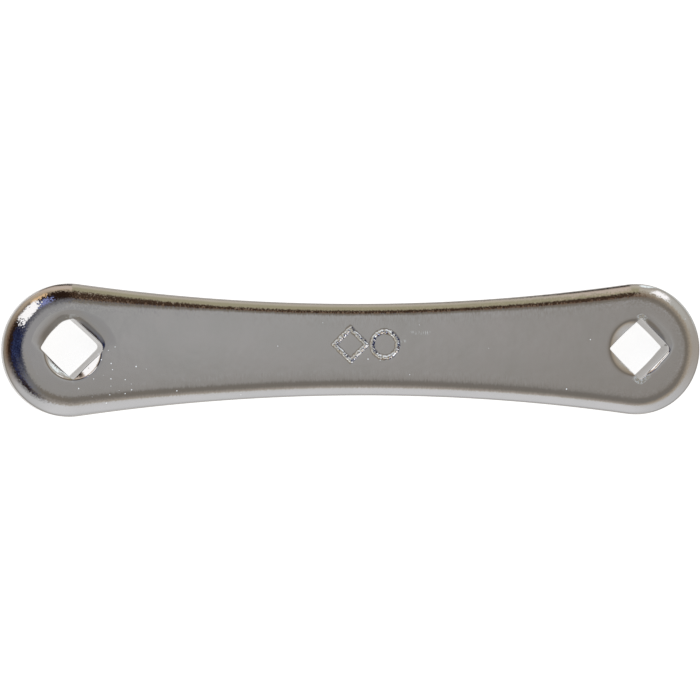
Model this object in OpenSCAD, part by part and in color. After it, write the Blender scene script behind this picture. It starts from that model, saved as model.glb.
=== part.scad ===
// Tank wrench: a waisted flat bar, forged in one piece and plated all over, with a square socket
// through each rounded end that fits the square valve stem of a small gas tank.
// The origin is at the middle of the lower face. X runs along the bar, Y across it and Z up.
// All sizes are in millimetres.

/* [Bar] */
// Length over both rounded ends
overall_length = 152.4; // [130:0.1:180]
// Width across each rounded end
end_width = 28.4; // [26:0.1:34]
// Width at the narrowest place, half way along
waist_width = 19.7; // [14:0.1:24]
// Thickness from face to face
thickness = 8; // [6.5:0.1:10]
// Radius that rounds the rim of both faces
rim_radius = 2.6; // [1:0.1:3]

/* [Sockets] */
// Across-flats size of the square sockets: a 3/8 inch stem with clearance
socket_size = 9.7; // [8:0.05:11]
// Radius left in each corner of a socket
socket_corner = 0.4; // [0.2:0.05:1]
// Turn of the sockets about their axes: at 45 degrees a corner points along the bar
socket_turn = 45; // [0:5:45]

/* [Socket mouths] */
// Diameter of each countersink where it meets a face
mouth_diameter = 12.1; // [11:0.1:14]
// Included angle of the countersinks, which is that of a drill's point
mouth_angle = 118; // [90:1:130]
// Included angle of the right socket's upper countersink, which is shallower than the others
right_mouth_angle = 138; // [100:1:150]
// How far the upper countersink of the left socket sits off its axis, along the bar
left_mouth_along = 0.3; // [-1.2:0.1:1.2]
// How far the upper countersink of the left socket sits off its axis, across the bar
left_mouth_across = -0.9; // [-1.2:0.1:1.2]
// How far the upper countersink of the right socket sits off its axis, along the bar
right_mouth_along = -1.1; // [-1.2:0.1:1.2]
// How far the upper countersink of the right socket sits off its axis, across the bar
right_mouth_across = 0; // [-1.2:0.1:1.2]

/* [Hidden] */

// Room that a cutting shape runs past the face it cuts
overrun = 1;
// Smoothness of round sections, and of the long shallow arcs of the two sides
round_steps = 96;
arc_steps = 1440;

end_radius = end_width / 2;
waist_half = waist_width / 2;
// Each end arc and its socket share one centre on the bar's centre line
socket_x = overall_length / 2 - end_radius;
// The arc that draws in a side touches both end arcs, so its centre follows from the waist. The centre is
// kept to a hundredth of a millimetre, and the radius is then what is left up to the end arc.
waist_fall = end_radius - waist_half;
side_centre_y = round(100 * (socket_x ^ 2 / waist_fall - waist_fall) / 2) / 100;
side_radius = norm([socket_x, side_centre_y]) - end_radius;
// That radius in whole millimetres, thousandths and the rest, so that no digit of it is lost
side_whole = floor(side_radius);
side_thousandths = floor(1000 * (side_radius - side_whole)) / 1000;
side_rest = side_radius - side_whole - side_thousandths;
// Offsets and angles of the left and right countersinks in the upper face. The lower ones sit on their axes.
upper_mouth_offsets = [[left_mouth_along, left_mouth_across], [right_mouth_along, right_mouth_across]];
upper_mouth_angles = [mouth_angle, right_mouth_angle];
plating = [0.62, 0.61, 0.6];

// Section through the rim: the outline's wall is at 0, rounded into both faces, and depth runs inwards.
module rim_section(depth) {
    translate([rim_radius, 0])
        square([depth - rim_radius, thickness]);
    translate([0, rim_radius])
        square([depth, thickness - 2 * rim_radius]);
    for (height = [rim_radius, thickness - rim_radius])
        translate([rim_radius, height])
            circle(rim_radius, $fn = round_steps);
}

// Right-hand end: the rim turned about the socket's axis, cut off where the side arcs touch it. It stops
// just short of the axis, where the socket is cut out anyway.
module rounded_end() {
    far = overall_length;
    intersection() {
        translate([socket_x, 0, 0])
            rotate_extrude($fn = round_steps)
                translate([end_radius, 0])
                    mirror([1, 0])
                        rim_section(end_radius - overrun);
        translate([0, 0, -overrun])
            linear_extrude(thickness + 2 * overrun)
                polygon([[socket_x, 0], [0, side_centre_y], [far, side_centre_y],
                         [far, -side_centre_y], [0, -side_centre_y]]);
    }
}

// One half of the drawn-in waist: the rim turned about the far centre of a side arc, cut off at the
// bar's centre line and where it meets the two ends.
module half_waist() {
    intersection() {
        translate([0, side_centre_y, 0])
            rotate_extrude($fn = arc_steps)
                translate([side_whole, 0])
                    translate([side_thousandths, 0])
                        translate([side_rest, 0])
                            rim_section(end_radius);
        translate([0, 0, -overrun])
            linear_extrude(thickness + 2 * overrun)
                polygon([[-socket_x, 0], [socket_x, 0], [0, side_centre_y]]);
    }
}

// The bar before its sockets are cut.
module bar() {
    for (side = [0, 1]) {
        mirror([side, 0, 0]) rounded_end();
        mirror([0, side, 0]) half_waist();
    }
}

// Square hole with a small radius in its corners, right through the bar.
module square_socket() {
    inner = socket_size - 2 * socket_corner;
    translate([0, 0, -overrun])
        linear_extrude(thickness + 2 * overrun)
            rotate(socket_turn) {
                square([socket_size, inner], center = true);
                square([inner, socket_size], center = true);
                for (x = [-1, 1], y = [-1, 1])
                    translate([x, y] * inner / 2)
                        circle(socket_corner, $fn = round_steps);
            }
}

// Countersink of the given included angle in the upper face, running a little past it.
module countersink(angle) {
    flare = tan(angle / 2);
    tip = mouth_diameter / 2 / flare;
    translate([0, 0, thickness - tip])
        cylinder(h = tip + overrun, r1 = 0, r2 = (tip + overrun) * flare, $fn = round_steps);
}

// The whole wrench, which is a single piece.
module wrench_body() {
    color(plating)
        difference() {
            bar();
            for (end = [0, 1])
                translate([(2 * end - 1) * socket_x, 0, 0]) {
                    square_socket();
                    translate(upper_mouth_offsets[end]) countersink(upper_mouth_angles[end]);
                    translate([0, 0, thickness]) mirror([0, 0, 1]) countersink(mouth_angle);
                }
        }
}

wrench_body();
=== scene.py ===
# %% [markdown]
# # A chrome tank wrench
# The wrench is one flat bar of steel, drawn in at the waist, with a square socket through each rounded
# end. It was forged, punched, rounded by hand on a polishing wheel and plated with chrome. A mirror finish
# shows every small turn of the surface, so the lesson is about one closed mesh whose rims, socket mouths
# and stamped sign are real geometry, and about the room that such a mirror reflects.
# The measured solid comes in first as a fixed frame, and everything else is worked out from its box.

# %% Load the measured solid
import math

import bmesh
import bpy
import numpy as np
from mathutils import Matrix, Vector


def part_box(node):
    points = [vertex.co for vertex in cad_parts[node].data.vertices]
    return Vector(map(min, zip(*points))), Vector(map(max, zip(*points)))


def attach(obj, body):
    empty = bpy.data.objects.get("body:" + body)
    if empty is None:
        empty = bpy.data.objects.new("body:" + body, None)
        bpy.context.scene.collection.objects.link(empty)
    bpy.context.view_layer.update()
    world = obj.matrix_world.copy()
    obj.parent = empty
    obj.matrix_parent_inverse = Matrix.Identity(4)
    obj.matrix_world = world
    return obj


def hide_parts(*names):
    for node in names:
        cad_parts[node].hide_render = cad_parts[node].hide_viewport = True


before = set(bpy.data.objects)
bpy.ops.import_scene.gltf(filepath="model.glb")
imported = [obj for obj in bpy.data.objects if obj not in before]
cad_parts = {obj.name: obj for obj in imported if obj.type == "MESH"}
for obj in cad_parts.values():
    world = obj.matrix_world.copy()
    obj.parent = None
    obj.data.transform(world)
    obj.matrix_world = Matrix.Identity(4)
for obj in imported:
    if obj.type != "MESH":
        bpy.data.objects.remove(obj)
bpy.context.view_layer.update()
print("solid nodes:", sorted(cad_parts))

# %% [markdown]
# ## Sizes
# The bar's length, width and thickness are read from the solid. Both ends are half rounds about the socket
# axes, so half the width is their radius. Each long side is one shallow arc that touches both end rounds,
# and its radius follows from the width at the waist. Working such values out keeps the new mesh and the
# solid in step.

# %% Driving sizes, in metres
mm = 0.001
box_low, box_high = (np.array(corner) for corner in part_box("wrench_body"))
length, width, thickness = box_high - box_low
waist_width = 19.7 * mm
end_radius, waist_half = width / 2, waist_width / 2
socket_x = length / 2 - end_radius
side_radius = (socket_x**2 + waist_half**2 - end_radius**2) / (2 * (end_radius - waist_half))
side_centre_y = waist_half + side_radius
blend_angle = math.asin(socket_x / (side_radius + end_radius))
print(f"bar {length / mm:.1f} x {width / mm:.1f} x {thickness / mm:.1f} mm")
print(f"side arcs of {side_radius / mm:.0f} mm radius")

# %% [markdown]
# ## The outline
# A surface that follows the whole rim needs one closed path with a place and an inward direction at every
# station. The stations are close together where the stamped sign will be, because the flat face shares
# them, and wider apart elsewhere. On the side arcs they are given by the angle at the arc's far centre, on
# the ends by the angle at the socket's axis.

# %% Stations along the outline
rim_reach = 5.6 * mm
sign_left, sign_right = -6.8 * mm, 10.2 * mm
fine_step, coarse_step = 0.125 * mm, 1.6 * mm
arc_steps, face_steps = 86, 72
flat_radius = side_radius + rim_reach
joint_x = flat_radius * math.sin(blend_angle)


def steps_between(low, high, step):
    """Evenly spaced values from low up to high, without high itself, about one step apart."""
    return np.linspace(low, high, max(2, round((high - low) / step)), endpoint=False)


flat_x = np.concatenate([
    steps_between(-joint_x, sign_left, coarse_step),
    steps_between(sign_left, sign_right, fine_step),
    steps_between(sign_right, joint_x, coarse_step),
    [joint_x],
])
side_angle = np.arcsin(flat_x / flat_radius)


def directions(angle):
    """Unit vectors at the given angles from +X, one row each."""
    return np.stack([np.cos(angle), np.sin(angle)], axis=-1)


def outline():
    """Places and inward directions round the bar, anticlockwise from the right end's lower blend.
    An end is its centre plus the radius along each angle. A side is the far centre plus the side radius."""
    half_turn = np.pi / 2 + blend_angle
    sweep = np.linspace(-half_turn, half_turn, arc_steps + 1)[:-1]
    right_out, left_out = directions(sweep), directions(sweep + np.pi)
    upper_in = directions(side_angle[::-1][:-1] - np.pi / 2)
    lower_in = directions(np.pi / 2 - side_angle[:-1])
    places = np.concatenate([
        [socket_x, 0] + end_radius * right_out,
        [0, side_centre_y] + side_radius * upper_in,
        [-socket_x, 0] + end_radius * left_out,
        [0, -side_centre_y] + side_radius * lower_in,
    ])
    return places, np.concatenate([-right_out, upper_in, -left_out, lower_in])


rim_place, rim_inward = outline()
print("outline stations:", len(rim_place))

# %% [markdown]
# ## How the rim varies
# The polishing wheel rolls the flat face over into the side wall. A bevel modifier gives one radius
# everywhere, but a hand leans on the wheel differently along the bar: the roll reaches far into the face at
# the left end, little along the upper side of the waist, and it starts very gently along the lower side. So
# each size of the rim has a value for the waist and for both ends, on the upper and on the lower side, and
# the values blend along the bar.

# %% Widths of the roll
upper_outer = {"waist": 1.6 * mm, "left": 1.7 * mm, "right": 1.75 * mm}
lower_outer = {"waist": 1.3 * mm, "left": 1.9 * mm, "right": 1.5 * mm}
upper_trim = {"waist": 0.2 * mm, "left": 0.34 * mm, "right": 0.03 * mm}
upper_inner = {"waist": 1.5 * mm, "left": 3.7 * mm, "right": 2.2 * mm}
lower_inner = {"waist": 3.9 * mm, "left": 3.4 * mm, "right": 3.2 * mm}
upper_power = {"waist": 1.3, "left": 1.03, "right": 1.3}
lower_power = {"waist": 3.0, "left": 1.8, "right": 2.6}
# Places along the bar where the waist's values give way to an end's, and parts of the inward direction
# where the upper side's give way to the lower side's and where the trim sets in
left_blend, right_blend = (22 * mm, 68 * mm), (20 * mm, 62 * mm)
lower_blend, trim_blend = (0.2, 0.9), (0.6, 0.95)


def ease(value, start, stop):
    """0 before start, 1 after stop and a smooth S between, for arrays."""
    part = np.clip((value - start) / (stop - start), 0, 1)
    return part * part * (3 - 2 * part)


def blended(upper, lower, place, inward):
    """A value at each station: the waist's, left end's and right end's blend by the place along the bar,
    and the upper and the lower side's by the inward direction."""
    left, right = ease(-place[:, :1], *left_blend), ease(place[:, :1], *right_blend)

    def along(value):
        waist = value["waist"]
        return waist + left * (value["left"] - waist) + right * (value["right"] - waist)

    return along(upper) + ease(inward[:, 1:], *lower_blend) * (along(lower) - along(upper))


outer_roll = blended(upper_outer, lower_outer, rim_place, rim_inward)
trim = blended(upper_trim, upper_trim, rim_place, rim_inward)
outer_roll -= trim * ease(-rim_inward[:, 1:], *trim_blend)
inner_roll = blended(upper_inner, lower_inner, rim_place, rim_inward)
roll_power = blended(upper_power, lower_power, rim_place, rim_inward)
print(f"outer roll {outer_roll.min() / mm:.2f} to {outer_roll.max() / mm:.2f} mm wide")
print(f"inner roll {inner_roll.min() / mm:.2f} to {inner_roll.max() / mm:.2f} mm wide")

# %% [markdown]
# ## The rim's profile
# The rim is a profile carried along the outline. A mirror shows slope, not height, so the profile's slope is
# written down and its height follows: the slope grows from nothing at the flat, then evenly over the outer
# band, and a small round edge turns it into the wall.

# %% Rim profile
band_slope = 0.51
edge_tilt, end_relief = math.radians(43), math.radians(8)
relief_blend = (0.14, 0.4)
edge_radius = 0.3 * mm
lead_rows, inner_rows, outer_rows, edge_rows, wall_rows = 13, 11, 8, 5, 3
lead = np.linspace(0, 1, lead_rows, endpoint=False)
inner_share = np.linspace(0, 1, inner_rows + 1)
outer_share = np.linspace(0, 1, outer_rows + 1)[1:]
edge_share = np.linspace(0, 1, edge_rows + 1)[1:]


def rim_profile(inward, outer, inner, power):
    """Inset from the outline and drop below the face, by station and row, from the flat to the wall.
    Over the inner roll the slope is the band's slope times g^p, with g from 0 at the flat to 1, so the drop
    is its integral. Over the outer roll the slope grows evenly to the edge's, and the edge is a round."""
    g, h = inner_share, outer_share
    tilt = edge_tilt - end_relief * ease(np.abs(inward[:, :1]), *relief_blend)
    edge_turn = tilt + edge_share * (np.pi / 2 - tilt)
    edge_inset = edge_radius * (1 - np.sin(tilt))
    start = edge_inset + outer + inner
    inset = np.hstack([
        rim_reach + lead * (start - rim_reach),
        start - inner * g,
        edge_inset + outer * (1 - h),
        edge_radius * (1 - np.sin(edge_turn)),
    ])
    flat_drop = np.zeros((len(inward), lead_rows))
    inner_drop = band_slope * inner * g ** (power + 1) / (power + 1)
    outer_drop = outer * (band_slope * h + (np.tan(tilt) - band_slope) * h**2 / 2) + inner_drop[:, -1:]
    edge_drop = edge_radius * (np.cos(tilt) - np.cos(edge_turn)) + outer_drop[:, -1:]
    return inset, np.hstack([flat_drop, inner_drop, outer_drop, edge_drop])


rim_inset, rim_drop = rim_profile(rim_inward, outer_roll, inner_roll, roll_power)
wall_start = rim_drop[:, -1] / mm
print(f"the wall starts {wall_start.min():.2f} to {wall_start.max():.2f} mm below the face")

# %% [markdown]
# ## The rim's surface and its finish
# The profile turned over makes the rim of the lower face, and a plain wall joins the two. Each point also
# gets three numbers for its finish: how much the wheel has worn it, how much it belongs to the side wall,
# which is painted darker as shade, and how hard it was struck, which also sets a painted highlight. A
# painted texture could hold them, but numbers on the points need no unwrapping and follow the shape.

# %% Rim grid
upper_wear = {"waist": 0.42, "left": 0.42, "right": 0.5}
lower_wear = {"waist": 0.2, "left": 0.35, "right": 0.2}
lead_wear, edge_wear, wall_wear = 0.4, 0.08, 0.2
wear_fall = 3
# Share of the outer roll over which the side wall's painted shade sets in
side_shade_blend = (0.8, 1.1)


def rim_surface(place, inward, inset, drop):
    """Points of the rim by station and row: the outline moved inwards by the inset, at the drop below the
    upper face, then the wall in even steps, then the same rows above the lower face."""
    share = np.linspace(0, 1, wall_rows + 1)[1:-1]
    wall_drop = drop[:, -1:] + share * (thickness - 2 * drop[:, -1:])
    row_inset = np.hstack([inset, np.zeros_like(wall_drop), inset[:, ::-1]])
    row_drop = np.hstack([drop, wall_drop, thickness - drop[:, ::-1]])
    flat_places = place[:, None] + inward[:, None] * row_inset[..., None]
    return np.concatenate([flat_places, (thickness - row_drop)[..., None]], axis=-1)


def rim_wear(place, inward):
    """Finish of the same points. Wear grows evenly over the lead and the inner roll, falls with a power of
    what is left of the outer roll, and is scaled by its value at the station."""
    rising = np.concatenate([lead_wear * lead, lead_wear + (1 - lead_wear) * inner_share])
    falling = edge_wear + (1 - edge_wear) * (1 - outer_share) ** wear_fall
    wear = np.concatenate([rising, falling, np.full(edge_rows, edge_wear)])
    # The side share is painted shade: it darkens the plate over the end of the outer roll, the edge and the
    # wall
    side = np.concatenate([0 * rising, ease(outer_share, *side_shade_blend), np.ones(edge_rows)])
    wall = np.ones(wall_rows - 1)
    row_wear = np.concatenate([wear, wall_wear * wall, wear[::-1]])
    row_side_shade = np.concatenate([side, wall, side[::-1]])
    worn = row_wear * blended(upper_wear, lower_wear, place, inward)
    return np.stack([worn, np.broadcast_to(row_side_shade, worn.shape), 0 * worn], axis=-1)


rim_points = rim_surface(rim_place, rim_inward, rim_inset, rim_drop)
rim_finish = rim_wear(rim_place, rim_inward)
print("rim grid:", rim_points.shape[:2])

# %% [markdown]
# ## The stamped sign
# A stamped sign sits near the middle of the face: a square outline turned like the sockets, for the square
# stem, and a ring beside it for the round tank. A punch pushes metal down into a groove with rounded sides.
# Bump mapping would vanish from the mesh, so the groove is a real hollow in the face's own grid, and its
# depth is a function of the distance to the nearest stroke. The strokes reach a little past the flat grid
# between the ends, so the flat rows of the rim take the same depth.

# %% Depth of the stamped sign
stroke_half, stroke_depth = 0.6 * mm, 0.34 * mm
square_centre, square_reach = np.array([-1.5, 1.1]) * mm, 3.5 * mm
ring_centre, ring_radius = np.array([6.0, 1.1]) * mm, 2.8 * mm
# Waves that make the grooves uneven: their lengths, how far each sways with the other direction's slow
# wave, and how much of a stroke's width and depth they take
wave_x, slow_x, wave_y, slow_y = 0.17 * mm, 0.33 * mm, 0.2 * mm, 0.29 * mm
sway_x, sway_y = 1.7, -0.8
uneven_width, uneven_depth = 0.16, 0.26


def sign_depth(x, y):
    """Depth of the stamped grooves at places on the face.
    Both strokes are distances from a line: |dx| + |dy| to the square's reach, and the radius to the ring's.
    Across a stroke the depth is half a cosine wave, and two crossed waves make it as uneven as a punch
    does."""
    from_square = np.abs(x - square_centre[0]) + np.abs(y - square_centre[1])
    from_ring = np.hypot(x - ring_centre[0], y - ring_centre[1])
    square, ring = np.abs(from_square - square_reach) / math.sqrt(2), np.abs(from_ring - ring_radius)
    ripple = np.sin(x / wave_x + sway_x * np.sin(y / slow_y))
    ripple = ripple * np.sin(y / wave_y + sway_y * np.sin(x / slow_x))
    near = np.minimum(np.minimum(square, ring) / (stroke_half * (1 + uneven_width * ripple)), 1)
    return stroke_depth * (1 - uneven_depth + uneven_depth * ripple) * (1 + np.cos(np.pi * near)) / 2


def struck_finish(depth):
    """How worn, how much of a side wall and how struck the metal is at a groove's depth; struck metal is
    painted bright as a highlight.
    """
    struck = depth / stroke_depth
    return np.stack([struck, 0 * struck, np.minimum(2 * struck, 1)], axis=-1)


rim_groove = sign_depth(rim_points[:, :lead_rows, 0], rim_points[:, :lead_rows, 1])
rim_points[:, :lead_rows, 2] -= rim_groove
rim_finish[:, :lead_rows] += struck_finish(rim_groove)
print(f"sign: {rim_groove.max() / mm:.2f} mm deep where it runs past the flat grid")

# %% [markdown]
# ## The flat faces
# Between the two ends each face is a grid of columns that run straight across the bar. Towards an end the
# columns bend until the last one is the round that the socket's own grid starts from, so the two grids share
# their points and the seam can be closed.

# %% Flat face between the ends
ring_outer = end_radius - rim_reach
bend_start = 30 * mm


def face_between():
    """Flat grid by station and column, from the upper to the lower edge.
    Columns are straight, plus a share of the difference to the end's round that grows towards each end."""
    column = np.linspace(1, -1, face_steps + 1)
    half = side_centre_y - flat_radius * np.cos(side_angle)
    round_angle = np.linspace(np.pi / 2 + blend_angle, 1.5 * np.pi - blend_angle, face_steps + 1)
    bulge = socket_x + ring_outer * np.cos(round_angle) - joint_x
    shift = ring_outer * np.sin(round_angle) - half[-1] * column
    right = ease(flat_x, bend_start, joint_x)[:, None]
    left = ease(-flat_x, bend_start, joint_x)[:, None]
    x = flat_x[:, None] + (right - left) * bulge
    y = half[:, None] * column + (right + left) * shift
    return x, y


face_x, face_y = face_between()
groove = sign_depth(face_x, face_y)
upper_face = np.stack([face_x, face_y, thickness - groove], axis=-1)
lower_face = np.stack([face_x, face_y, np.zeros_like(face_x)], axis=-1)
smooth_finish = np.zeros(face_x.shape + (3,))
print("face grid:", face_x.shape)

# %% [markdown]
# ## The holes
# A square punch leaves a square hole with slightly rounded corners. It was set by eye, so the holes are a
# few tenths of a millimetre off the middle of the ends, and the stems that they turned have worn each side to
# a distance and an angle of its own and cut some corners. A boolean with a cube would give four equal sides.
# Here a hole is its reach at every angle, worked out from a list of straight sides.

# %% Holes and their mouths
corner_power = 28
left_shift, right_shift = np.array([0.08, 0.72]) * mm, np.array([0.44, 0.2]) * mm
# Each mouth: its middle off the hole's axis in mm, the slopes of its sides (upper left and right, lower left
# and right), how soft its rim is in mm, the hole's sides below it as angle and distance in mm, the angle and
# width in mm of a nick beside the hole, the angle, width in mm and slope of each rolled-over edge, and how
# rough the burr is that the corners keep, which also sets how bright its painted highlight is
plain_mouth = {"middle": (0, 0), "slopes": ((0.6, 0.6), (0.6, 0.6)), "soft": 0.1,
               "nick": (0, 0), "rolls": [], "burr": 0.3}
left_lower = plain_mouth | {"sides": {0: 6.76, 48: 4.8, 135: 4.85, 225: 4.85, 314: 4.92}}
left_upper = plain_mouth | {
    "middle": (0.5, -1), "slopes": ((0.05, 0.05), (0.84, 0.9)), "soft": 0.09,
    "sides": {0: 6.75, 48: 4.88, 104: 5.67, 134: 5.12, 148: 5.36, 226: 4.75, 314: 5.4},
    "rolls": [(130, 2.2, 0.25), (40, 1.9, 0.5)],
}
right_lower = plain_mouth | {"sides": {46: 4.85, 135: 4.85, 225: 4.85, 315: 4.6}}
right_upper = plain_mouth | {
    "middle": (-0.52, 0.07), "slopes": ((0.5, 0.2), (0.46, 0.95)),
    "sides": {0: 6.5, 45: 4.85, 133: 4.6, 225: 4.85, 315: 4.95},
    "nick": (-28, 0.55), "rolls": [(45, 2.2, 0.22)], "burr": 2.2,
}


def wall_reach_at(angle, mouth):
    """Distance from the axis to the hole's wall. A side at distance h is h / cos away at an angle from its
    normal. A high power mean of cos / h over all sides picks the nearest one and rounds the corners."""
    sides = np.array(list(mouth["sides"].items()))
    facing = np.maximum(np.cos(angle[..., None] - np.radians(sides[:, 0])), 0)
    return mm * ((facing / sides[:, 1]) ** corner_power).sum(axis=-1) ** (-1 / corner_power)


round_trip = np.linspace(0, 2 * np.pi, 360)
for title, mouth in (("left", left_lower), ("right", right_lower)):
    reach = wall_reach_at(round_trip, mouth) / mm
    print(f"{title} hole reaches {reach.min():.2f} mm at its sides and {reach.max():.2f} mm at its corners")

# %% [markdown]
# ## The mouths
# A drill's point opened each mouth into a shallow cone. On the upper face it landed off the hole's middle
# and leaned, so the cone is steep on one side and fades out on the other. Use has rolled some edges over and
# left a nick. Each of these lowers the face by an amount that depends on the place, so one function adds
# them up, which keeps the surface closed where separate cutters would leave slivers.

# %% Drop of a mouth
mouth_radius = 6.05 * mm
# Ranges over which the slopes change from left to right and from the upper to the lower side, a nick and a
# rolled edge set in by how squarely a place faces them, and a rolled edge runs out with distance
lean_right, lean_lower = (-0.5, 0.5), (-0.3, 0.15)
nick_facing, roll_facing = (0.8, 1), (0.62, 0.95)
roll_end = (-8 * mm, -6.6 * mm)


def mouth_drop(x, y, mouth):
    """How far a mouth lies below its face: the cone's slope times the distance inside its rim, smoothed.
    A leaning drill gives each side its own slope. Beside the hole the rim also follows the wall, as far out
    as the nick is wide, and a rolled-over edge adds a slope that grows evenly towards the wall."""
    along, across = x - mouth["middle"][0] * mm, y - mouth["middle"][1] * mm
    away, reach, angle = np.hypot(along, across), np.hypot(x, y), np.arctan2(y, x)
    beside = reach - wall_reach_at(angle, mouth)
    right, lower = ease(along / away, *lean_right), ease(-across / away, *lean_lower)
    upper_slope, lower_slope = (first + right * (second - first) for first, second in mouth["slopes"])
    slope = upper_slope + lower * (lower_slope - upper_slope)
    nick_angle, nick_width = mouth["nick"]
    nick = nick_width * mm * ease(np.cos(angle - math.radians(nick_angle)), *nick_facing)
    inside = np.maximum(mouth_radius - away, nick - beside)
    soft = mouth["soft"] * mm
    drop = soft * np.logaddexp(0, slope * inside / soft)
    for roll_angle, roll_width, roll_slope in mouth["rolls"]:
        facing = ease(np.cos(angle - math.radians(roll_angle)), *roll_facing) * ease(-reach, *roll_end)
        left_over = np.maximum(roll_width * mm - np.maximum(beside, 0), 0)
        drop = drop + facing * roll_slope * left_over**2 / (2 * roll_width * mm)
    return drop


for title, mouth in (("left", left_upper), ("right", right_upper)):
    edge_x, edge_y = (wall_reach_at(round_trip, mouth)[:, None] * directions(round_trip)).T
    depth = mouth_drop(edge_x, edge_y, mouth) / mm
    print(f"{title} upper mouth is {depth.min():.2f} to {depth.max():.2f} mm deep at the hole")

# %% [markdown]
# ## The socket grids
# The cone is round and the hole is square, so the edge between them rises and falls in four arcs, and the
# corners of the square just reach past the cone, where they keep a rough burr. One grid runs from the round
# in the upper face over the mouth, down the wall and out over the lower mouth. Its columns crowd towards the
# corners of the square, and its rows lie close at the cone's rim and over the small lip into the wall.

# %% Rows of one mouth
corner_crowding = 0.8
flat_share = np.array([0, 0.3, 0.6, 0.85])
mouth_skirt = np.array([0.8, 0.5, 0.3, 0.14]) * mm
cone_share = np.array([1, 0.93, 0.84, 0.7, 0.5, 0.25, 0])
lip_turn = np.array([0.25, 0.5, 0.75, 1])
lip, least_cone = 0.16 * mm, 0.05 * mm
burr_reach, burr_facing = 0.4 * mm, (0.5, 0.9)
mouth_wear, worn_depth = 0.15, 0.3 * mm


def socket_mouth(angle, shift, mouth):
    """Places about the hole's axis, drops, wear and burr from the face's round to the wall, by row and
    column. Rows first cross the flat, then the cone's rim and the cone, and turn over a small lip into the
    wall. Where the square reaches past the cone, its upper and lower corners keep a rough burr."""
    crowded = angle - corner_crowding * np.sin(4 * angle) / 4
    ray = directions(crowded)
    wall = wall_reach_at(crowded, mouth)
    offset = np.array(mouth["middle"]) * mm
    towards = ray @ offset
    rim = towards + np.sqrt(towards**2 - offset @ offset + mouth_radius**2)
    start = wall + lip
    burr = ease(start - rim, -burr_reach, burr_reach) * ease(np.abs(ray[:, 1]), *burr_facing)
    rim = np.maximum(rim, start + least_cone)
    outer, inner = ring_outer * directions(angle) - shift, ray * (rim + mouth_skirt[0])[:, None]
    flat = outer + flat_share[:, None, None] * (inner - outer)
    beyond = rim + mouth_skirt[:, None]
    cone = start + cone_share[:, None] * (rim - start)
    rows = np.concatenate([flat, np.concatenate([beyond, cone])[..., None] * ray])
    drop = mouth_drop(rows[..., 0], rows[..., 1], mouth)
    drop[0] = 0
    turn = lip_turn[:, None]
    lip_reach = wall + lip * (1 - turn) ** 2
    edge = mouth_drop(wall * ray[:, 0], wall * ray[:, 1], mouth)
    lip_drop = (1 - turn) ** 2 * drop[-1] + 2 * turn * (1 - turn) * edge + turn**2 * (edge + lip)
    drop = np.concatenate([drop, lip_drop])
    wear = mouth_wear * ease(drop, 0, worn_depth)
    rough = np.zeros_like(wear)
    # A burr turns the normal and is painted bright as a highlight
    rough[len(flat):len(rows)] = mouth["burr"] * burr
    return np.concatenate([rows, lip_reach[..., None] * ray]), drop, wear, rough


print("rows of a mouth:", len(flat_share) + len(mouth_skirt) + len(cone_share) + len(lip_turn))

# %% Socket grids
socket_wall_rows = 6
# Painted shade on a socket's wall, at its top and at its foot
upper_wall_shade, lower_wall_shade = 0.45, 0.85


def socket_surface(end, shift, upper_mouth, lower_mouth):
    """The socket's whole grid: upper mouth, wall and lower mouth, by row and column, and their finish. The
    wall is painted darker with depth, as shade."""
    out_angle = np.linspace(-np.pi / 2 - blend_angle, np.pi / 2 + blend_angle, arc_steps + 1)[:-1]
    in_angle = np.linspace(np.pi / 2 + blend_angle, 1.5 * np.pi - blend_angle, face_steps + 1)[:-1]
    angle = np.concatenate([out_angle, in_angle]) + (np.pi if end < 0 else 0)
    upper, upper_fall, upper_worn, upper_burr = socket_mouth(angle, shift, upper_mouth)
    lower, lower_fall, lower_worn, lower_burr = socket_mouth(angle, shift, lower_mouth)
    share = np.linspace(0, 1, socket_wall_rows + 1)[1:-1, None]
    top, bottom = thickness - upper_fall[-1], lower_fall[-1]
    heights = np.concatenate([thickness - upper_fall, top + share * (bottom - top), lower_fall[::-1]])
    wall = upper[-1] + share[..., None] * (lower[-1] - upper[-1])
    places = np.concatenate([upper, wall, lower[::-1]]) + [end * socket_x, 0] + shift
    points = np.concatenate([places, heights[..., None]], axis=-1)
    plain = np.zeros(wall.shape[:2])
    wear = np.concatenate([upper_worn, mouth_wear + plain, lower_worn[::-1]])
    wall_shading = upper_wall_shade + share * (lower_wall_shade - upper_wall_shade) + plain
    socket_shade = np.concatenate([0 * upper_worn, wall_shading, lower_wall_shade + 0 * lower_worn])
    burr = np.concatenate([upper_burr, plain, lower_burr[::-1]])
    return points, np.stack([wear, socket_shade, burr], axis=-1)


left_socket, left_finish = socket_surface(-1, left_shift, left_upper, left_lower)
right_socket, right_finish = socket_surface(1, right_shift, right_upper, right_lower)
print("socket grid:", left_socket.shape[:2])

# %% [markdown]
# ## One closed skin
# Each grid becomes a block of vertices and four-cornered faces, and some grids close on themselves. The
# blocks share the points on their seams, so merging points that coincide leaves one watertight skin. Its
# faces are then turned outwards, and smooth shading blends the directions between neighbouring faces.

# %% Build the wrench
weld_distance = 0.002 * mm
# The side number also darkens the plate as painted shade, and the struck number brightens it as painted
# highlight
finish_names = ("wear", "side", "struck")


def grid_faces(rows, columns, wrap_rows, wrap_columns):
    """Corner numbers of a grid's faces. A wrapped direction joins its last line to its first."""
    row = np.arange(rows if wrap_rows else rows - 1)[:, None]
    column = np.arange(columns if wrap_columns else columns - 1)[None, :]
    next_row, next_column = (row + 1) % rows, (column + 1) % columns
    corners = [(row, column), (row, next_column), (next_row, next_column), (next_row, column)]
    return np.stack([a * columns + b for a, b in corners], axis=-1).reshape(-1, 4)


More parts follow.
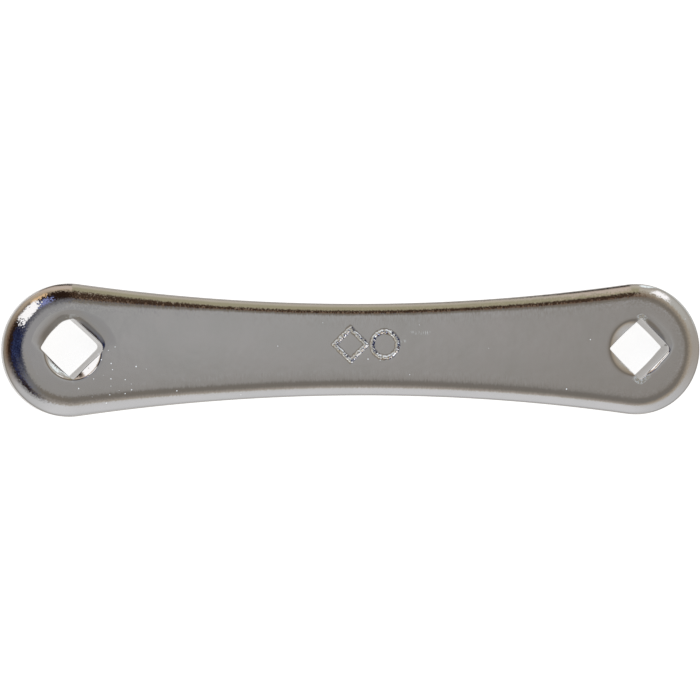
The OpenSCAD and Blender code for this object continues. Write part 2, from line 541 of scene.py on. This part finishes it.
def skin_from(name, grids):
    """One mesh object from grids of points, each with its finish and two wrap settings, welded and facing
    outwards. The finish becomes three numbers on each point, which the material reads: how worn by the
    wheel, how much a part of the side wall, which is painted darker as shade, and how struck by the punch in
    the sign and how burred at a socket's corners, which also paints a highlight there."""
    points, finishes, faces, start = [], [], [], 0
    for grid, finish, wrap_rows, wrap_columns in grids:
        points.append(grid.reshape(-1, 3))
        finishes.append(finish.reshape(-1, 3))
        faces.append(grid_faces(*grid.shape[:2], wrap_rows, wrap_columns) + start)
        start += len(points[-1])
    mesh = bpy.data.meshes.new(name)
    mesh.from_pydata(np.concatenate(points).tolist(), [], np.concatenate(faces).tolist())
    for finish_name, values in zip(finish_names, np.concatenate(finishes).astype(np.float32).T):
        mesh.attributes.new(finish_name, "FLOAT", "POINT").data.foreach_set("value", values.copy())
    work = bmesh.new()
    work.from_mesh(mesh)
    bmesh.ops.remove_doubles(work, verts=work.verts, dist=weld_distance)
    bmesh.ops.recalc_face_normals(work, faces=work.faces)
    loose = sum(not edge.is_manifold for edge in work.edges)
    print(f"{name}: {len(work.verts)} points, {len(work.faces)} faces, {loose} open edges")
    work.to_mesh(mesh)
    work.free()
    mesh.shade_smooth()
    piece = bpy.data.objects.new(name, mesh)
    bpy.context.scene.collection.objects.link(piece)
    return piece


wrench = skin_from("wrench", [
    (rim_points, rim_finish, True, False),
    (upper_face, struck_finish(groove), False, False),
    (lower_face, smooth_finish, False, False),
    (left_socket, left_finish, False, True),
    (right_socket, right_finish, False, True),
])
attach(wrench, "root")
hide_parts("wrench_body")

# %% [markdown]
# ## Chrome plate
# Chrome is a metal with almost no colour of its own, a little darker and warmer than silver. What gives a
# used, polished plate its look is very fine: facets and hairlines that the wheel left, a faint orange peel,
# specks where the plating skipped, and scuffs. They bend the reflections, so they go into the normal, and
# only a trace of them goes into the colour, apart from the specks, which are also painted bright as glints.
# All of it is noise in the object's own coordinates, so it stays with the metal and needs no pictures. A few
# helpers keep the node trees readable.

# %% Node helpers


def add_node(tree, kind, **settings):
    """A node of the given kind with its properties and named or numbered inputs set."""
    node = tree.nodes.new(kind)
    for key, value in settings.items():
        if key.startswith("in_"):
            slot = key[3:]
            node.inputs[int(slot) if slot.isdigit() else slot.replace("_", " ")].default_value = value
        else:
            setattr(node, key, value)
    return node


def wire(tree, source, target):
    """Link an output socket to an input socket."""
    tree.links.new(source, target)


def calc(tree, operation, *values):
    """A math node's output for the operation, where each value is a number or a socket."""
    node = add_node(tree, "ShaderNodeMath", operation=operation)
    for slot, value in zip(node.inputs, values):
        if isinstance(value, (int, float)):
            slot.default_value = value
        else:
            wire(tree, value, slot)
    return node.outputs[0]


def vector_calc(tree, operation, *values):
    """A vector math node's output, where each value is a socket, three numbers or, for a scale, a number."""
    node = add_node(tree, "ShaderNodeVectorMath", operation=operation)
    slots = [node.inputs[0], node.inputs["Scale"]] if operation == "SCALE" else node.inputs
    for slot, value in zip(slots, values):
        if isinstance(value, (int, float, tuple)):
            slot.default_value = value
        else:
            wire(tree, value, slot)
    return node.outputs["Value" if operation == "DISTANCE" else "Vector"]


def split(tree, vector):
    """The X, Y and Z outputs of a vector socket."""
    node = add_node(tree, "ShaderNodeSeparateXYZ")
    wire(tree, vector, node.inputs[0])
    return node.outputs


def ramp(tree, value, start, stop):
    """A smooth step of a socket's value from 0 at start to 1 at stop."""
    node = add_node(tree, "ShaderNodeMapRange", interpolation_type="SMOOTHSTEP")
    wire(tree, value, node.inputs["Value"])
    node.inputs["From Min"].default_value = start
    node.inputs["From Max"].default_value = stop
    return node.outputs[0]


def blend(tree, share, first, second):
    """A colour between two colours, each a socket or three numbers, by a share that is a socket."""
    node = add_node(tree, "ShaderNodeMix", data_type="RGBA")
    wire(tree, share, node.inputs["Factor"])
    for slot, colour in ((node.inputs[6], first), (node.inputs[7], second)):
        if isinstance(colour, tuple):
            slot.default_value = (*colour, 1)
        else:
            wire(tree, colour, slot)
    return node.outputs[2]


def noise(tree, place, scale, **settings):
    """A noise texture node at a place or a direction, with the given scale."""
    node = add_node(tree, "ShaderNodeTexNoise", in_Scale=scale, **settings)
    wire(tree, place, node.inputs["Vector"])
    return node


helpers = (add_node, wire, calc, vector_calc, split, ramp, blend, noise)
print("node helpers:", ", ".join(helper.__name__ for helper in helpers))

# %% [markdown]
# ## Facets and peel
# Where the wheel rolled the rim it left tiny facets: long hairs across the bar in the middle and round
# grains at the ends. Each one mirrors another part of the room, which is why the edge of a dark band looks
# frayed. Roughness would only blur the band, so random turns of the normal are used, and the numbers on the
# points say how strong they are.

# %% Turned normals
facet_turn, struck_turn, smooth_turn = 0.45, 0.5, 0.008
crown_turn = 2.5
hair_scale, hair_stretch = 3400, (1, 0.25, 1)
grain_scale, grain_start = 2800, 0.6 * socket_x
peel_scale, peel_height = 420, 0.01 * mm


def faceted_normal(tree, place, x, hair, wear, struck):
    """The surface's normal plus a random turn, which is the marks' colour about its middle times how worn
    and struck the point is. A turn that grows across the bar crowns the face a little."""
    grain = noise(tree, place, grain_scale, in_Detail=1)
    to_end = ramp(tree, calc(tree, "ABSOLUTE", x), grain_start, socket_x)
    marks = blend(tree, to_end, hair.outputs["Color"], grain.outputs["Color"])
    turn = calc(tree, "MULTIPLY_ADD", wear, facet_turn, smooth_turn)
    turn = calc(tree, "MULTIPLY_ADD", struck, struck_turn, turn)
    facet = vector_calc(tree, "SCALE", vector_calc(tree, "SUBTRACT", marks, (0.5, 0.5, 0.5)), turn)
    normal = add_node(tree, "ShaderNodeNewGeometry").outputs["Normal"]
    crowned = vector_calc(tree, "ADD", normal, vector_calc(tree, "MULTIPLY", place, (0, crown_turn, 0)))
    return vector_calc(tree, "NORMALIZE", vector_calc(tree, "ADD", crowned, facet))


def peeled_normal(tree, place, normal):
    """A normal with the faint bump of orange peel over it."""
    peel = noise(tree, place, peel_scale, in_Detail=1)
    bump = add_node(tree, "ShaderNodeBump", in_Strength=1, in_Distance=peel_height)
    wire(tree, peel.outputs[0], bump.inputs["Height"])
    wire(tree, normal, bump.inputs["Normal"])
    return bump.outputs[0]


print(f"hairs {1000 / hair_scale:.2f} mm and grains {1000 / grain_scale:.2f} mm apart")

# %% [markdown]
# ## Specks and scuffs
# Small specks sit where the plating skipped, most of them beside the left socket, and each is painted bright
# as a glint. Two light scuffs lie beside the sign. A Voronoi texture gives every cell a random colour, so a
# few cells can be drawn by lot, and each gets a dot. A scuff is a short patch in which some of the hairs are
# bright.

# %% Specks and scuffs
speck_scale, speck_rotation = 700, (0, 0, 1.1)
crowd_middle = (-53.5 * mm, -5.5 * mm, thickness)
crowd_near, crowd_far = 4 * mm, 10 * mm
speck_lot, crowd_gain = 0.985, 0.3
speck_least, speck_spread = 0.035, 0.07
# Middle, half length and half width in mm
scuffs = [(13.8, 3.6, 2.5, 0.6), (9.3, 1.8, 1.5, 0.5)]
scuff_full, scuff_hairs = 0.7, (0.4, 0.7)


def glinting_specks(tree, place, side):
    """1 on a speck, which is painted bright as a glint: a disc about a cell's point, kept if the cell's
    random number is over a limit that falls near the crowd's middle, and nowhere on the side wall."""
    cells = add_node(tree, "ShaderNodeTexVoronoi", voronoi_dimensions="2D", in_Scale=speck_scale)
    turned = add_node(tree, "ShaderNodeMapping", in_Rotation=speck_rotation)
    wire(tree, place, turned.inputs["Vector"])
    wire(tree, turned.outputs[0], cells.inputs["Vector"])
    chance = add_node(tree, "ShaderNodeSeparateColor")
    wire(tree, cells.outputs["Color"], chance.inputs[0])
    crowd = ramp(tree, vector_calc(tree, "DISTANCE", place, crowd_middle), crowd_far, crowd_near)
    lot = calc(tree, "MULTIPLY_ADD", crowd, -crowd_gain, speck_lot)
    kept = calc(tree, "GREATER_THAN", chance.outputs[0], lot)
    size = calc(tree, "MULTIPLY_ADD", chance.outputs[1], speck_spread, speck_least)
    speck = calc(tree, "MULTIPLY", kept, calc(tree, "LESS_THAN", cells.outputs["Distance"], size))
    return calc(tree, "MULTIPLY", speck, calc(tree, "SUBTRACT", 1, side))


def scuffed(tree, x, y, hair, glint_and_scuff):
    """A brightness with the scuffs added: patches that fade at their ends and from their middle line, times
    the strongest hairs."""
    hairs = ramp(tree, hair.outputs[0], *scuff_hairs)
    for middle_x, middle_y, half_long, half_wide in scuffs:
        beside = calc(tree, "ABSOLUTE", calc(tree, "SUBTRACT", x, middle_x * mm))
        above = calc(tree, "ABSOLUTE", calc(tree, "SUBTRACT", y, middle_y * mm))
        lengthwise = ramp(tree, beside, half_long * mm, scuff_full * half_long * mm)
        patch = calc(tree, "MULTIPLY", lengthwise, ramp(tree, above, half_wide * mm, 0))
        glint_and_scuff = calc(tree, "MAXIMUM", glint_and_scuff, calc(tree, "MULTIPLY", patch, hairs))
    return glint_and_scuff


print(f"speck cells {1000 / speck_scale:.1f} mm wide, {len(scuffs)} scuffs")

# %% [markdown]
# ## The material
# The plate's own colour wanders a little from place to place. The walls are painted darker as shade, the
# specks, struck grooves and burrs are painted brighter as highlights, and the scuffs are a trace brighter. A
# speck also leans, so that it catches a light part of the room.

# %% Chrome material
cool_plate, warm_plate = (0.57, 0.575, 0.56), (0.67, 0.65, 0.65)
# Painted shade for the walls, and painted highlight for specks, grooves and burrs, also used for scuffs
side_shade_plate, glint_and_scuff_plate = (0.28, 0.265, 0.245), (0.92, 0.97, 1.0)
edge_tint = (0.76, 0.75, 0.74, 1)
plate_roughness = 0.08
tone_scale, tone_detail, tone_roughness = 110, 6, 0.65
speck_lean = -0.62


def chrome_material():
    """Mirror metal: turned normals with leaning specks and peel over them, and the plate's colour blended
    by a slow noise, by the painted shade of the side walls and by the painted highlights and scuffs of its
    marks."""
    material = bpy.data.materials.new("chrome_plate")
    material.use_nodes = True
    tree = material.node_tree
    shader = tree.nodes["Principled BSDF"]
    shader.inputs["Metallic"].default_value = 1
    shader.inputs["Specular Tint"].default_value = edge_tint
    shader.inputs["Roughness"].default_value = plate_roughness
    place = add_node(tree, "ShaderNodeTexCoord").outputs["Object"]
    x, y, _ = split(tree, place)
    wear, side, struck = (
        add_node(tree, "ShaderNodeAttribute", attribute_name=name).outputs["Fac"] for name in finish_names
    )
    hair = noise(tree, vector_calc(tree, "MULTIPLY", place, hair_stretch), hair_scale, in_Detail=1)

    speck = glinting_specks(tree, place, side)
    lean = add_node(tree, "ShaderNodeCombineXYZ")
    wire(tree, calc(tree, "MULTIPLY", speck, speck_lean), lean.inputs["Y"])
    normal = faceted_normal(tree, place, x, hair, wear, struck)
    normal = vector_calc(tree, "NORMALIZE", vector_calc(tree, "ADD", normal, lean.outputs[0]))
    wire(tree, peeled_normal(tree, place, normal), shader.inputs["Normal"])

    tone = noise(tree, place, tone_scale, in_Detail=tone_detail, in_Roughness=tone_roughness)
    plate = blend(tree, tone.outputs[0], cool_plate, warm_plate)
    # Painted shade on the side walls and down the sockets
    plate = blend(tree, side, plate, side_shade_plate)
    # Painted highlights on struck grooves, burrs and specks, with the scuffs
    glint_and_scuff = scuffed(tree, x, y, hair, calc(tree, "MAXIMUM", struck, speck))
    wire(tree, blend(tree, glint_and_scuff, plate, glint_and_scuff_plate), shader.inputs["Base Color"])
    return material


wrench.data.materials.append(chrome_material())
print("material:", wrench.data.materials[0].name)

# %% [markdown]
# ## The room's walls
# A mirror is only as good as what it reflects, so chrome needs a room more than it needs lamps. A ring of
# painted planes would do, but the world's colour by direction is simpler and casts no shadows. The walls
# stand round the compass, each with a few plain colours from the floor line up: pale plaster, a dark
# doorway, a deep blue curtain, a window, and the shade under the ceiling. Neighbouring walls blend into each
# other, so the light stays soft.

# %% Walls by azimuth, each a list of elevations and colours, in degrees
overhead = 90
plaster, grey_plaster = (0.50, 0.43, 0.34), (0.52, 0.475, 0.425)
olive_plaster, pale_plaster = (0.48, 0.44, 0.30), (0.70, 0.64, 0.55)
rose_plaster, tan_plaster = (0.77, 0.65, 0.56), (0.66, 0.53, 0.39)
ash, pale_blue = (0.66, 0.65, 0.61), (1.4, 1.52, 1.56)
window, sill = (0.88, 0.88, 0.9), (0.72, 0.72, 0.73)
doorway, curtain = (0.03, 0.016, 0.01), (0.014, 0.018, 0.055)
brown, umber = (0.20, 0.12, 0.075), (0.11, 0.066, 0.042)
shade, low_shade, dim = (0.26, 0.23, 0.195), (0.25, 0.23, 0.21), (0.37, 0.335, 0.305)
dusk, slate = (0.21, 0.205, 0.22), (0.24, 0.235, 0.235)
curtain_wall = [(0, plaster), (26, plaster), (32, brown), (35.5, doorway), (38.5, doorway),
                (43, curtain), (73, curtain)]
olive_wall = [(0, grey_plaster), (8, pale_plaster), (18, olive_plaster), (28, olive_plaster),
              (37, doorway), (54, doorway), (62, dusk)]
rose_wall = [(0, doorway), (5, doorway), (10, rose_plaster), (20, rose_plaster),
             (27, tan_plaster), (34, doorway), (54, doorway), (62, dusk)]
blue_foot = [(0, pale_blue), (6, pale_blue), (9, grey_plaster)]
walls = [
    (-180, curtain_wall),
    (-130, [(0, sill), (31, sill), (40, doorway), (47, doorway), (57, slate)]),
    (-90, [(0, sill), (10, window), (38, window), (46, grey_plaster), (56, dim), (64, shade)]),
    (-45, [(0, sill), (27, sill), (44, plaster), (58, low_shade)]),
    (0, [(0, grey_plaster), (18, grey_plaster), (34, plaster), (58, shade)]),
    (40, [*blue_foot, (15, ash), (24, ash), (36, plaster), (57, shade)]),
    (71, [*blue_foot, (17, pale_plaster), (28, plaster), (52, brown), (62, shade)]),
    (74, olive_wall),
    (78, [*olive_wall[:4], (36, umber), (54, umber), (62, dusk)]),
    (80.8, olive_wall),
    (81.9, [*rose_wall[:4], (29, tan_plaster), (37, doorway), *rose_wall[6:]]),
    (93, rose_wall),
    (101, [(0, doorway), (11, doorway), (16, rose_plaster), *rose_wall[3:]]),
    (112, rose_wall),
    (165, curtain_wall),
]


def wall_colour(tree, height, stops):
    """Colours of one wall, as a ramp over the height from 0 at the floor line to 1 straight up."""
    node = add_node(tree, "ShaderNodeValToRGB")
    wire(tree, height, node.inputs[0])
    keys = node.color_ramp.elements
    while len(keys) < len(stops):
        keys.new(1)
    for key, (angle, colour) in zip(keys, stops):
        key.position = angle / overhead
        key.color = (*colour, 1)
    return node.outputs[0]


def wall_colours(tree, azimuth, elevation):
    """Colour by direction: each wall gives way to the next over the azimuth between them."""
    height = calc(tree, "DIVIDE", elevation, overhead)
    colour = wall_colour(tree, height, walls[0][1])
    for (before, _), (after, stops) in zip(walls, walls[1:]):
        colour = blend(tree, ramp(tree, azimuth, before, after), colour, wall_colour(tree, height, stops))
    return colour


print("walls round the compass:", len(walls))

# %% [markdown]
# ## Curtain print, lamps and ceiling
# The left end mirrors a curtain with a printed pattern, and a lamp with a warm fringe below it and a blue one
# beside it. A small lamp lights the right end, and a long low one the mouths of the sockets. The flat face
# mirrors only the ceiling, so the ceiling's greys set the tone of the whole bar. They change a little from
# side to side, as they do in a room with one window.

# %% Curtain print, lamps and ceiling
print_blue, print_scale, print_cut = (0.15, 0.2, 0.45), 28, (0.57, 0.68)
curtain_east, curtain_height = (-0.15, -0.35), (38, 44)
lamp_white, lamp_orange, lamp_blue = (1.55, 1.53, 1.55), (1.05, 0.72, 0.42), (0.32, 0.36, 0.7)
# Each lamp: its azimuth and half its width, its elevation and half its height, and its soft edge, in degrees
lamps = [
    (115, 8, 33, 2, 3, lamp_orange),
    (107, 4, 51, 5, 5, lamp_blue),
    (130, 11, 45.5, 9.5, 4, lamp_white),
    (53, 5, 20.5, 2.5, 5, lamp_white),
    (149, 36, 9, 7, 5, lamp_white),
]
near_ceiling, left_ceiling = (0.537, 0.538, 0.537), (0.42, 0.416, 0.424)
far_ceiling, south_ceiling = (0.395, 0.37, 0.347), (0.42, 0.405, 0.39)
# East and north parts of the direction over which the greys change, and where the ceiling starts
near_blend, far_blend, south_blend = (0.115, 0.145), (0.1, 0.3), (-0.07, 0.02)
ceiling_height, south_start, south_dip = (64, 78), 0.04, 35


def printed(tree, towards, east, elevation, colour):
    """The walls' colour with a blue print, which is the crests of a noise, where the curtain hangs."""
    crests = ramp(tree, noise(tree, towards, print_scale, in_Detail=2).outputs[0], *print_cut)
    hung = calc(tree, "MULTIPLY", ramp(tree, east, *curtain_east), ramp(tree, elevation, *curtain_height))
    return blend(tree, calc(tree, "MULTIPLY", hung, crests), colour, print_blue)


def lit(tree, azimuth, elevation, colour):
    """The colour with the lamps over it: each is a patch of the compass and of elevation with soft edges."""
    for middle_azimuth, half_azimuth, middle_elevation, half_elevation, soft, lamp_colour in lamps:
        sides = ((azimuth, middle_azimuth, half_azimuth), (elevation, middle_elevation, half_elevation))
        inside = []
        for angle, middle, half in sides:
            away = calc(tree, "ABSOLUTE", calc(tree, "SUBTRACT", angle, middle))
            inside.append(ramp(tree, away, half + soft, half))
        colour = blend(tree, calc(tree, "MULTIPLY", *inside), colour, lamp_colour)
    return colour


def ceiled(tree, east, north, elevation, colour):
    """The colour with the ceiling over it, whose greys blend from left to right and towards the south. On
    the south side the ceiling starts higher, by an angle that grows with the direction's southward part."""
    ceiling = blend(tree, ramp(tree, east, *near_blend), left_ceiling, near_ceiling)
    ceiling = blend(tree, ramp(tree, north, *south_blend), south_ceiling, ceiling)
    ceiling = blend(tree, ramp(tree, east, *far_blend), ceiling, far_ceiling)
    southward = calc(tree, "MINIMUM", calc(tree, "ADD", north, south_start), 0)
    above = calc(tree, "MULTIPLY_ADD", southward, south_dip, elevation)
    return blend(tree, ramp(tree, above, *ceiling_height), colour, ceiling)


print("lamps:", len(lamps))

# %% [markdown]
# ## The world
# The world's shader gets one colour for every direction. The direction is split into azimuth and elevation,
# and walls, curtain print, lamps and ceiling are laid over each other in that order.

# %% World


def room():
    """World colour by direction: the walls, with the curtain's print, the lamps and the ceiling over them."""
    world = bpy.data.worlds.new("room")
    world.use_nodes = True
    bpy.context.scene.world = world
    tree = world.node_tree
    towards = add_node(tree, "ShaderNodeTexCoord").outputs["Generated"]
    east, north, up = split(tree, towards)
    elevation = calc(tree, "MULTIPLY", calc(tree, "ARCSINE", up), 180 / math.pi)
    azimuth = calc(tree, "MULTIPLY", calc(tree, "ARCTAN2", north, east), 180 / math.pi)
    colour = wall_colours(tree, azimuth, elevation)
    colour = printed(tree, towards, east, elevation, colour)
    colour = lit(tree, azimuth, elevation, colour)
    colour = ceiled(tree, east, north, elevation, colour)
    wire(tree, colour, tree.nodes["Background"].inputs["Color"])
    return world


print("world:", room().name)

# %% [markdown]
# ## Floor
# The wrench lies on a plain white sheet. The sheet is a little brighter to the eye than its paint alone,
# so it reads as white, and it still darkens where the wrench shades it. A hair's breadth of air keeps it
# from sharing the lower face's plane, where the two would flicker.

# %% Floor
floor_gap = 0.02 * mm
floor_rings, floor_steps = np.array([0.02, 0.4, 1.2, 4.0]), 96
sheet_paint, sheet_glow = 0.55, 0.885


def sheet_material():
    """Grey paint that takes shadows, plus a glow that only the camera and mirrored or refracted rays see."""
    material = bpy.data.materials.new("white_sheet")
    material.use_nodes = True
    tree = material.node_tree
    tree.nodes.remove(tree.nodes["Principled BSDF"])
    paint = add_node(tree, "ShaderNodeBsdfDiffuse", in_Color=(sheet_paint, sheet_paint, sheet_paint, 1))
    glow = add_node(tree, "ShaderNodeEmission", in_Color=(1, 1, 1, 1))
    path = add_node(tree, "ShaderNodeLightPath")
    seen = calc(tree, "MAXIMUM", path.outputs["Is Camera Ray"], path.outputs["Is Glossy Ray"])
    seen = calc(tree, "MAXIMUM", seen, path.outputs["Is Transmission Ray"])
    wire(tree, calc(tree, "MULTIPLY", seen, sheet_glow), glow.inputs["Strength"])
    both = add_node(tree, "ShaderNodeAddShader")
    wire(tree, paint.outputs[0], both.inputs[0])
    wire(tree, glow.outputs[0], both.inputs[1])
    wire(tree, both.outputs[0], tree.nodes["Material Output"].inputs["Surface"])
    return material


def floor_sheet():
    """A wide flat disc under the wrench: rings of points from the middle outwards, and one face inside."""
    turn = np.linspace(0, 2 * np.pi, floor_steps + 1)[:-1]
    ring = floor_rings[:, None, None] * directions(turn)
    grid = np.concatenate([ring, np.full(ring.shape[:2] + (1,), -floor_gap)], axis=-1)
    mesh = bpy.data.meshes.new("floor")
    faces = grid_faces(*grid.shape[:2], False, True).tolist() + [list(range(len(turn)))]
    mesh.from_pydata(grid.reshape(-1, 3).tolist(), [], faces)
    mesh.materials.append(sheet_material())
    floor = bpy.data.objects.new("floor", mesh)
    bpy.context.scene.collection.objects.link(floor)
    return floor


floor_sheet()
print(f"floor sheet: {2 * floor_rings[-1]:.0f} m across")

# %% [markdown]
# ## Camera
# The photograph looks almost straight down, from a little to the left, through a long lens: the right-hand
# walls of both sockets show, and the left end is slightly larger than the right.

# %% Camera
camera_place = Vector((-187, 0, 1000)) * mm
camera_aim = Vector((-1.28, -0.08, 6)) * mm
camera_up = Vector((0.0018, 1, 0))
camera_lens, sensor_width = 241.8, 36


def photo_camera():
    """A camera at its place, aimed at a point, with the bar's length across the picture."""
    camera = bpy.data.objects.new("camera", bpy.data.cameras.new("camera"))
    bpy.context.scene.collection.objects.link(camera)
    back = (camera_place - camera_aim).normalized()
    side = camera_up.cross(back).normalized()
    turn = Matrix((side, back.cross(side), back)).transposed()
    camera.matrix_world = Matrix.Translation(camera_place) @ turn.to_4x4()
    camera.data.sensor_width = sensor_width
    camera.data.lens = camera_lens
    bpy.context.scene.camera = camera
    return camera


print(f"camera lens: {photo_camera().data.lens:.1f} mm")
bpy.context.scene.view_settings.view_transform = "Standard"
